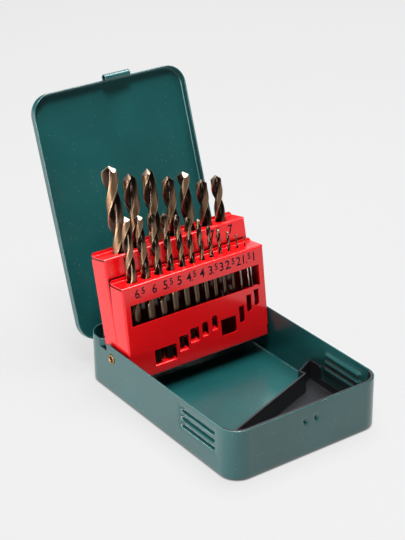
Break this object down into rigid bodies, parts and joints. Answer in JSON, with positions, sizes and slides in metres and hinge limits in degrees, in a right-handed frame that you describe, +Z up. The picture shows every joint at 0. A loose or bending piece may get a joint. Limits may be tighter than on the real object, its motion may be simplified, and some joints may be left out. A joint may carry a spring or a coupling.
{
  "type": "drill bit case",
  "caption": "Folded steel case whose hinged lid folds a stepped rack of twist drill bits down into the base, with a plastic tip guard in the front corner.",
  "frame": {"origin": "centre of the base tray's flat underside", "axes": "+Z up, +Y towards the lid's hinges, +X to the right seen from the front; the lid stands open and the racks stand up"},
  "size_m": [0.1126, 0.2115, 0.1761],
  "materials": {
    "green_paint": "semi-gloss",
    "red_paint": "gloss",
    "guard_plastic": "fine texture",
    "eyelet_brass": "rolled",
    "plain_steel": "drawn",
    "bit_steel": "bronze oxide on ground flutes"
  },
  "bodies": {
    "base": {"base_tray": "green_paint", "tip_guard": "guard_plastic", "left_eyelet": "eyelet_brass", "right_eyelet": "eyelet_brass", "left_washer": "plain_steel", "right_washer": "plain_steel", "left_hinge_pin": "plain_steel", "right_hinge_pin": "plain_steel"},
    "lid": {"lid_shell": "green_paint"},
    "racks": {"rear_rack": "red_paint", "front_rack": "red_paint"},
    "bit_10_0": {"bit_10_0": "bit_steel"},
    "bit_9_5": {"bit_9_5": "bit_steel"},
    "bit_9_0": {"bit_9_0": "bit_steel"},
    "bit_8_5": {"bit_8_5": "bit_steel"},
    "bit_8_0": {"bit_8_0": "bit_steel"},
    "bit_7_5": {"bit_7_5": "bit_steel"},
    "bit_7_0": {"bit_7_0": "bit_steel"},
    "bit_6_5": {"bit_6_5": "bit_steel"},
    "bit_6_0": {"bit_6_0": "bit_steel"},
    "bit_5_5": {"bit_5_5": "bit_steel"},
    "bit_5_0": {"bit_5_0": "bit_steel"},
    "bit_4_5": {"bit_4_5": "bit_steel"},
    "bit_4_0": {"bit_4_0": "bit_steel"},
    "bit_3_5": {"bit_3_5": "bit_steel"},
    "bit_3_0": {"bit_3_0": "bit_steel"},
    "bit_2_5": {"bit_2_5": "bit_steel"},
    "bit_2_0": {"bit_2_0": "bit_steel"},
    "bit_1_5": {"bit_1_5": "bit_steel"},
    "bit_1_0": {"bit_1_0": "bit_steel"}
  },
  "joints": [
    {"name": "lid_hinge", "type": "hinge", "parent": "base", "child": "lid", "pos_m": [0, 0.0768, 0.0245], "axis": [1, 0, 0], "range_deg": [0, 107.9]},
    {"name": "rack_swing", "type": "hinge", "parent": "base", "child": "racks", "pos_m": [0, 0.0481, 0.0244], "axis": [1, 0, 0], "range_deg": [0, 102.87]},
    {"name": "bit_10_0_slide", "type": "slide", "parent": "racks", "child": "bit_10_0", "axis": [0, -0.192, -0.9814], "range_m": [-0.082, 0]},
    {"name": "bit_9_5_slide", "type": "slide", "parent": "racks", "child": "bit_9_5", "axis": [0, -0.192, -0.9814], "range_m": [-0.082, 0]},
    {"name": "bit_9_0_slide", "type": "slide", "parent": "racks", "child": "bit_9_0", "axis": [0, -0.192, -0.9814], "range_m": [-0.082, 0]},
    {"name": "bit_8_5_slide", "type": "slide", "parent": "racks", "child": "bit_8_5", "axis": [0, -0.192, -0.9814], "range_m": [-0.082, 0]},
    {"name": "bit_8_0_slide", "type": "slide", "parent": "racks", "child": "bit_8_0", "axis": [0, -0.192, -0.9814], "range_m": [-0.082, 0]},
    {"name": "bit_7_5_slide", "type": "slide", "parent": "racks", "child": "bit_7_5", "axis": [0, -0.192, -0.9814], "range_m": [-0.082, 0]},
    {"name": "bit_7_0_slide", "type": "slide", "parent": "racks", "child": "bit_7_0", "axis": [0, -0.192, -0.9814], "range_m": [-0.082, 0]},
    {"name": "bit_6_5_slide", "type": "slide", "parent": "racks", "child": "bit_6_5", "axis": [0, -0.1449, -0.9895], "range_m": [-0.062, 0]},
    {"name": "bit_6_0_slide", "type": "slide", "parent": "racks", "child": "bit_6_0", "axis": [0, -0.1896, -0.9819], "range_m": [-0.056, 0]},
    {"name": "bit_5_5_slide", "type": "slide", "parent": "racks", "child": "bit_5_5", "axis": [0, -0.1896, -0.9819], "range_m": [-0.056, 0]},
    {"name": "bit_5_0_slide", "type": "slide", "parent": "racks", "child": "bit_5_0", "axis": [0, -0.1896, -0.9819], "range_m": [-0.053, 0]},
    {"name": "bit_4_5_slide", "type": "slide", "parent": "racks", "child": "bit_4_5", "axis": [0, -0.1896, -0.9819], "range_m": [-0.05, 0]},
    {"name": "bit_4_0_slide", "type": "slide", "parent": "racks", "child": "bit_4_0", "axis": [0, -0.1896, -0.9819], "range_m": [-0.0485, 0]},
    {"name": "bit_3_5_slide", "type": "slide", "parent": "racks", "child": "bit_3_5", "axis": [0, -0.1896, -0.9819], "range_m": [-0.047, 0]},
    {"name": "bit_3_0_slide", "type": "slide", "parent": "racks", "child": "bit_3_0", "axis": [0, -0.1896, -0.9819], "range_m": [-0.045, 0]},
    {"name": "bit_2_5_slide", "type": "slide", "parent": "racks", "child": "bit_2_5", "axis": [0, -0.1896, -0.9819], "range_m": [-0.045, 0]},
    {"name": "bit_2_0_slide", "type": "slide", "parent": "racks", "child": "bit_2_0", "axis": [0, -0.1896, -0.9819], "range_m": [-0.0405, 0]},
    {"name": "bit_1_5_slide", "type": "slide", "parent": "racks", "child": "bit_1_5", "axis": [0, -0.1896, -0.9819], "range_m": [-0.035, 0]},
    {"name": "bit_1_0_slide", "type": "slide", "parent": "racks", "child": "bit_1_0", "axis": [0, -0.1896, -0.9819], "range_m": [-0.033, 0]}
  ],
  "couplings": [
    {"joint": "rack_swing", "follows": "lid_hinge", "ratio": 0.9533}
  ]
}
